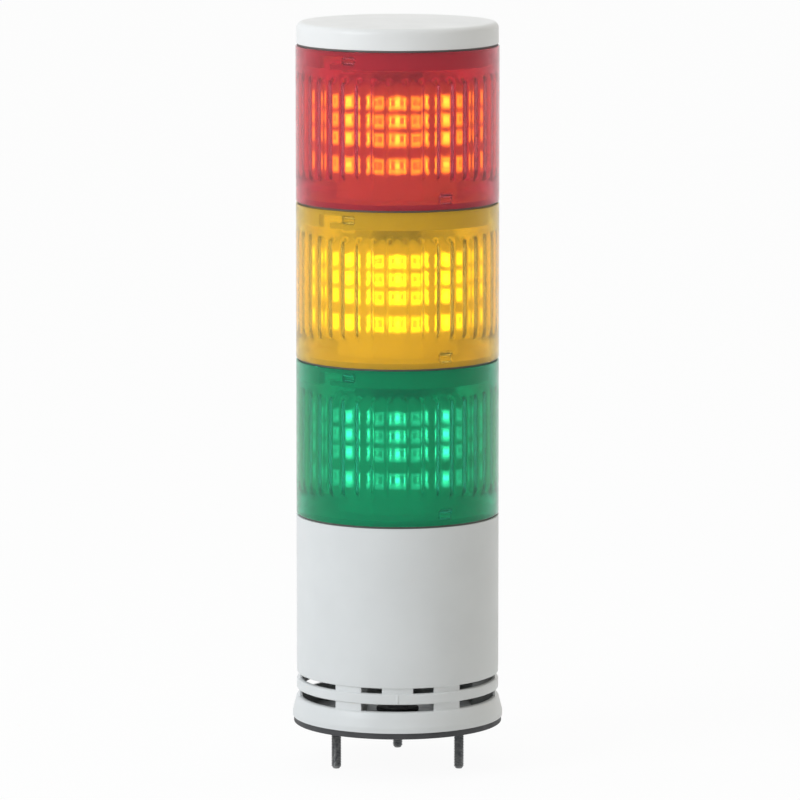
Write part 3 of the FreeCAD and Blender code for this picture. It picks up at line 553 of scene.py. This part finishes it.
seal_rubber = grained(finish("seal_rubber", paint(92, 90, 88), 0.6), 0.35 * MM, 0.02 * MM)
drifting(seal_rubber, "Roughness", 0.5, 0.7, 9 * MM)
SEAL_START, SEAL_OUTSIDE, SEAL_INSIDE = 48 * MM, 49.2 * MM, 46.5 * MM
for body in ("green_unit", "amber_unit", "red_unit", "head"):
    seal = body.removesuffix("_unit") + "_seal"
    foot, top = (corner.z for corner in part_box(seal))
    outer_side = [(SEAL_START, foot), (SEAL_OUTSIDE, foot), (SEAL_OUTSIDE, top)]
    seal_profile = outer_side + [(SEAL_INSIDE, top), (SEAL_INSIDE, foot), (SEAL_START, foot)]
    ring = turned_piece(f"{seal}_ring", softened(seal_profile, 0.25 * MM, 4))
    ring.data.materials.append(seal_rubber)
    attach(ring, body)
    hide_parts(seal)


# Lenses. Tubes moulded in coloured clear polycarbonate. The outside is plain, and forty flutes
# down the inside break the lamps' light into upright streaks. The top slips over the next
# unit's spigot and has the bayonet lugs.

LENS_RADIUS, LENS_START, LENS_FOOT_INSIDE = 50 * MM, 48 * MM, 46.25 * MM
LENS_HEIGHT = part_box("green_lens")[1].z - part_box("green_lens")[0].z
PAD_REACH, PAD_HALF, PAD_EDGE, PAD_ANGLES = 2.9 * MM, 4.3, 0.8, (60, 180, 300)
PAD_FOOT, PAD_TOP, PAD_ROUND = 2.5 * MM, 6.5 * MM, 0.3 * MM
FLUTES, FLUTE_DEPTH, FLUTE_SOFT, FLUTE_FADE = 40, 1.3 * MM, 0.04, 5 * MM
FLUTE_START, FLUTE_END = 12 * MM, LENS_HEIGHT - 12 * MM


def lens_points(seam, columns=640):
    """A lens as a closed loop of its wall carried round the axis.

    The inner wall is r = R + depth * flute * window, less the lugs and pads. The flute runs
    from 0 to 1 with the fall of sqrt(cos^2(20 a) + soft), so that every rib bulges inwards
    like a round rod, and the window fades the valleys out at both ends."""
    even = np.arange(columns) * 360 / columns
    foot_face = [(LENS_START, 0), (LENS_RADIUS, 0)]
    rim_face = [(LENS_RADIUS, LENS_HEIGHT), (COLLAR_INSIDE, LENS_HEIGHT)]
    outside = softened(foot_face + rim_face, 0.5 * MM, 6)[:-1]
    upper = LENS_HEIGHT - np.array([0, 0.6, 3, 3.3, 5.7, 6, 11, 12, 12.8, 13.6, 14.4, 15.2, 16, 17]) * MM
    lower = np.array([40, 18, 17, 16, 15.2, 14.4, 13.6, 12.8, 12, 9, 6.5, 6.2, 2.8, 2.5, 0.5, 0]) * MM
    rows = np.concatenate([upper, lower])
    wall = np.where(rows > FLUTE_START, COLLAR_INSIDE, LENS_FOOT_INSIDE)
    inside = np.stack([wall, rows], axis=-1)
    loop = np.concatenate([outside, inside, outside[:1]])
    level = loop[:, 1]
    inner = np.zeros(len(loop), bool)
    inner[len(outside):-1] = True
    window = ramp(level - FLUTE_START, FLUTE_FADE) * ramp(FLUTE_END - level, FLUTE_FADE)
    rod = np.sqrt(np.cos(np.radians(FLUTES / 2 * even)) ** 2 + FLUTE_SOFT)
    flute = (rod.max() - rod) / (rod.max() - rod.min())
    pad_side = np.min([off_angle(even, middle) for middle in PAD_ANGLES], axis=0)
    pad_height = ramp(level - PAD_FOOT, PAD_ROUND) * ramp(PAD_TOP - level, PAD_ROUND)
    pads = PAD_REACH * ramp(PAD_HALF - pad_side, PAD_EDGE)[None, :] * pad_height[:, None]
    cut = FLUTE_DEPTH * flute[None, :] * window[:, None]
    lugs = lugs_inside(even[None, :], level[:, None], LENS_HEIGHT)
    radius = np.where(inner[:, None], loop[:, :1] + cut - lugs - pads, loop[:, :1])
    return round_axis(radius, level[:, None] + seam, np.radians(even))


def lens_finish(name, tint):
    """Clear coloured polycarbonate: most of its light goes through, tinted, with a soft haze."""
    material = finish(name, tint, 0.15)
    shader = material.node_tree.nodes["Principled BSDF"]
    shader.inputs["Transmission Weight"].default_value = 0.86
    shader.inputs["IOR"].default_value = 1.58
    shader.inputs["Specular Tint"].default_value = (0.2, 0.2, 0.2, 1)
    drifting(material, "Roughness", 0.105, 0.225, 6 * MM)
    return material


LENS_TINTS = {"green": paint(48, 202, 158), "amber": paint(255, 223, 100), "red": paint(232, 108, 124)}
for colour, tint in LENS_TINTS.items():
    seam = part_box(f"{colour}_lens")[0].z
    points = lens_points(seam)
    tube = skin(f"{colour}_lens_tube", points, sheet_faces(*points.shape[:2]))
    tube.data.materials.append(lens_finish(f"{colour}_polycarbonate", tint))
    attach(tube, f"{colour}_unit")
    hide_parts(f"{colour}_lens")


# Reflector towers and lamps. Eight-sided towers moulded in white polycarbonate, with a tapered
# mouth round each lamp chip. The mouths carry a painted glow that stands in for the chips' light
# on them. The chips are soldered on white boards that clip in behind.

MOUTH_FACE, MOUTH_DEEP = 28.95 * MM, 25.2 * MM
WALL_HALFWAY, WALL_HALF = 27.1 * MM, 2.0 * MM
DECK_BELOW_TOP = 2.1 * MM


def painted_glow_reflector(name, glow, strength, spill, deck):
    """Bright white plastic whose mouths carry a painted glow, more so the deeper they are.

    The glow is painted light: emission that stands in for the lamps' light in the mouths. The
    distance from the axis to an octagon's side is the largest of |x|, |y| and (|x| + |y|) / sqrt 2.
    The painted glow falls to the spill, painted light for what the lens throws back, where that
    reaches the tower's faces, and there is none inside the tower or from the deck up."""
    material = finish(name, paint(238, 238, 236), 0.2)
    mottled(material, paint(234, 234, 232), paint(242, 242, 240), 12 * MM)
    drifting(material, "Roughness", 0.14, 0.26, 5 * MM)
    tree = material.node_tree
    place = tree.nodes.new("ShaderNodeTexCoord")
    unsigned = tree.nodes.new("ShaderNodeVectorMath")
    unsigned.operation = "ABSOLUTE"
    across = tree.nodes.new("ShaderNodeSeparateXYZ")
    point = tree.nodes.new("ShaderNodeSeparateXYZ")
    tree.links.new(place.outputs["Object"], unsigned.inputs[0])
    tree.links.new(unsigned.outputs["Vector"], across.inputs["Vector"])
    tree.links.new(place.outputs["Object"], point.inputs["Vector"])
    straight = reckon(tree, "MAXIMUM", across.outputs["X"], across.outputs["Y"])
    both = reckon(tree, "ADD", across.outputs["X"], across.outputs["Y"])
    reach = reckon(tree, "MAXIMUM", straight, reckon(tree, "MULTIPLY", both, 0.5 ** 0.5))
    depth = graded(tree, reach, MOUTH_FACE, MOUTH_DEEP, spill, strength)
    in_wall = reckon(tree, "COMPARE", reach, WALL_HALFWAY, WALL_HALF)
    below_deck = reckon(tree, "LESS_THAN", point.outputs["Z"], deck)
    painted_glow_area = reckon(tree, "MULTIPLY", in_wall, below_deck)
    shader = tree.nodes["Principled BSDF"]
    shader.inputs["Emission Color"].default_value = glow
    # Painted glow: emission on the white plastic that stands in for the lamps' light in the mouths.
    tree.links.new(reckon(tree, "MULTIPLY", painted_glow_area, depth), shader.inputs["Emission Strength"])
    return material


# Painted glow of each tower: its colour, its strength deep in the mouths, and the painted spill at the
# faces.
REFLECTOR_PAINTED_GLOW = {
    "green": (paint(235, 255, 235), 0.7, 0.04),
    "amber": (paint(255, 205, 30), 3.0, 0.14),
    "red": (paint(255, 246, 34), 3.7, 0.15),
}
for colour, (glow, strength, spill) in REFLECTOR_PAINTED_GLOW.items():
    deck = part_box(f"{colour}_reflector")[1].z - DECK_BELOW_TOP
    painted_glow_white = painted_glow_reflector(f"{colour}_reflector_painted_glow", glow, strength, spill, deck)
    dress(painted_glow_white, f"{colour}_reflector")

board_white = finish("board_white", paint(232, 232, 226), 0.35)
mottled(board_white, paint(226, 226, 220), paint(238, 238, 232), 3 * MM)
dress(board_white, *(f"{colour}_led_boards" for colour in COLOURS))

LAMPS = {
    "green": (paint(235, 255, 235), 4.0),
    "amber": (paint(255, 214, 60), 8.0),
    "red": (paint(255, 250, 60), 8.0),
}
for colour, (glow, strength) in LAMPS.items():
    lamp = finish(f"{colour}_lamp_chip", paint(244, 232, 170), 0.3)
    shader = lamp.node_tree.nodes["Principled BSDF"]
    shader.inputs["Emission Color"].default_value = glow
    shader.inputs["Emission Strength"].default_value = strength
    grained(lamp, 0.3 * MM, 0.02 * MM)
    dress(lamp, f"{colour}_led_chips")


# Head cover. A shallow cap of the same white ABS with a rounded top edge, whose spigot has bent
# slots for the lugs of the lens below.

SPIGOT_INSIDE, SPIGOT_OUTSIDE = 43.7 * MM, 46.2 * MM
SPIGOT_DEPTH, SPIGOT_TOP = 10 * MM, 0.6 * MM
CAP_RADIUS, CAP_WALL = 49.6 * MM, 2.5 * MM
HEAD_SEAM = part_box("head_cover")[0].z + SPIGOT_DEPTH
CAP_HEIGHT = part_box("head_cover")[1].z - HEAD_SEAM
ceiling = CAP_HEIGHT - CAP_WALL
cap_inside = [(0, ceiling), (SPIGOT_INSIDE, ceiling), (SPIGOT_INSIDE, SPIGOT_TOP)]
cap_foot = [(SPIGOT_OUTSIDE, SPIGOT_TOP), (SPIGOT_OUTSIDE, 0), (CAP_RADIUS, 0)]
cap_outside = [(CAP_RADIUS, CAP_HEIGHT), (0, CAP_HEIGHT)]
cap_edges = np.array([1.0, 0.1, 0.1, 0.2, 0.4, 3.0]) * MM
cap_profile = softened(cap_inside + cap_foot + cap_outside, cap_edges, 9)
cap_profile[:, 1] += HEAD_SEAM
cap = turned_piece("head_cap", cap_profile, 240)
cap_abs = finish("cap_abs", paint(236, 235, 234), 0.38)
mottled(cap_abs, paint(234, 233, 232), paint(238, 237, 236), 30 * MM)
grained(cap_abs, 0.45 * MM, 0.01 * MM, detail=3)
drifting(cap_abs, "Roughness", 0.34, 0.46, 14 * MM)
cap.data.materials.append(cap_abs)
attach(cap, "head")
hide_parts("head_cover")

ENTRY_START, ENTRY_END, RUN_END = -22.5, -13.5, 4.5
ENTRY_TOP, RUN_MIDDLE, RUN_HALF = -3.7 * MM, -5.5 * MM, 1.8 * MM
spigot_edges = [middle + part for middle in LUG_ANGLES for part in (ENTRY_START, ENTRY_END, RUN_END)]
spigot_angle = columns_with(spigot_edges, 180)
spigot_level = np.array([-10, -9.7, -7.3, -3.7, -2, 0.7]) * MM
spigot_middle = (spigot_level[:-1] + spigot_level[1:])[:, None] / 2
spigot_between = (spigot_angle + (np.roll(spigot_angle, -1) - spigot_angle) % 360 / 2)[None, :]
turn_from = (spigot_between + 60) % 120 - 60
past_start = turn_from > ENTRY_START
entry = past_start & (turn_from < ENTRY_END) & (spigot_middle < ENTRY_TOP)
run = past_start & (turn_from < RUN_END) & (np.abs(spigot_middle - RUN_MIDDLE) < RUN_HALF)
spigot_points = np.stack([
    round_axis(radius, spigot_level[:, None] + HEAD_SEAM, np.radians(spigot_angle))
    for radius in (SPIGOT_OUTSIDE, SPIGOT_INSIDE)])
spigot = skin("head_spigot", spigot_points, wall_faces(~(entry | run)))
soften_edges(spigot, 0.25 * MM)
spigot.data.materials.append(cap_abs)
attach(spigot, "head")


# Floor and backdrop: a wide pale sheet just under the studs. It reads white to the camera and
# in reflections, and keeps part of the shadow.

def background_rays(tree):
    """1 for a ray from the camera, a glossy ray or one through glass, and 0 for any other."""
    rays = tree.nodes.new("ShaderNodeLightPath")
    plain = reckon(tree, "MAXIMUM", rays.outputs["Is Camera Ray"], rays.outputs["Is Glossy Ray"])
    return reckon(tree, "MAXIMUM", plain, rays.outputs["Is Transmission Ray"])


PAPER_LEVEL, PAPER_SHARE = -21.4 * MM, 0.94
bpy.ops.mesh.primitive_circle_add(vertices=96, radius=9, fill_type="NGON", location=(0, 0, PAPER_LEVEL))
floor = bpy.context.object
floor.name = "studio_floor"
paper = finish("white_paper", (0.9, 0.9, 0.9, 1), 0.9)
tree = paper.node_tree
paper_shader = tree.nodes["Principled BSDF"]
paper_shader.inputs["Specular IOR Level"].default_value = 0.0
paper_white = tree.nodes.new("ShaderNodeEmission")
paper_mix = tree.nodes.new("ShaderNodeMixShader")
tree.links.new(reckon(tree, "MULTIPLY", background_rays(tree), PAPER_SHARE), paper_mix.inputs["Fac"])
tree.links.new(paper_shader.outputs["BSDF"], paper_mix.inputs[1])
tree.links.new(paper_white.outputs["Emission"], paper_mix.inputs[2])
tree.links.new(paper_mix.outputs["Shader"], tree.nodes["Material Output"].inputs["Surface"])
floor.data.materials.append(paper)


# Studio light. A large cool soft box at the left front, in a pale room that is brighter behind
# the object and overhead, and a little warmer at the right. The camera sees the room white.

def aim(holder, target):
    """Turn a lamp or a camera, which looks down its own -Z, to face a point."""
    towards = Vector(target) - holder.location
    holder.rotation_euler = towards.to_track_quat("-Z", "Y").to_euler()


soft_box = bpy.data.lights.new("key_left", "AREA")
soft_box.shape = "RECTANGLE"
soft_box.size, soft_box.size_y = 1.0, 1.1
soft_box.energy = 21
soft_box.color = (0.9, 0.95, 1.0)
key_left = bpy.data.objects.new("key_left", soft_box)
bpy.context.scene.collection.objects.link(key_left)
key_left.location = (-1.5, -1.2, 1.15)
aim(key_left, (0, 0, 0.25))

world = bpy.data.worlds.new("studio_room")
bpy.context.scene.world = world
world.use_nodes = True
tree = world.node_tree
room = tree.nodes["Background"]
direction = tree.nodes.new("ShaderNodeTexCoord")
side = tree.nodes.new("ShaderNodeSeparateXYZ")
tree.links.new(direction.outputs["Generated"], side.inputs["Vector"])
behind = graded(tree, side.outputs["Y"], -0.8, 0.6, 0.22, 0.66)
overhead = graded(tree, side.outputs["Z"], 0.3, 1.0, 0, 0.6)
tree.links.new(reckon(tree, "ADD", behind, overhead), room.inputs["Strength"])
room_tones = tree.nodes.new("ShaderNodeValToRGB")
room_tones.color_ramp.elements[0].color = (0.9, 0.96, 1.0, 1)
room_tones.color_ramp.elements[1].color = (0.82, 0.79, 0.7, 1)
tree.links.new(graded(tree, side.outputs["X"], -1, 1, 0, 1), room_tones.inputs["Fac"])
tree.links.new(room_tones.outputs["Color"], room.inputs["Color"])
white_room = tree.nodes.new("ShaderNodeBackground")
white_room.inputs["Color"].default_value = (1, 1, 1, 1)
white_room.inputs["Strength"].default_value = 1.0
room_mix = tree.nodes.new("ShaderNodeMixShader")
tree.links.new(background_rays(tree), room_mix.inputs["Fac"])
tree.links.new(room.outputs["Background"], room_mix.inputs[1])
tree.links.new(white_room.outputs["Background"], room_mix.inputs[2])
tree.links.new(room_mix.outputs["Shader"], tree.nodes["World Output"].inputs["Surface"])


# Camera. A long lens almost three metres off, a little above the head cover and looking
# slightly down, so that the stack fills the height.

camera_data = bpy.data.cameras.new("camera")
camera_data.lens = 271.6
camera_data.sensor_width = 36
camera_data.clip_end = 40
camera = bpy.data.objects.new("camera", camera_data)
bpy.context.scene.collection.objects.link(camera)
camera.location = (0.0012, -2.95, 0.581)
aim(camera, (0.0012, 0, 0.1605))
bpy.context.scene.camera = camera
bpy.context.scene.view_settings.view_transform = "Standard"
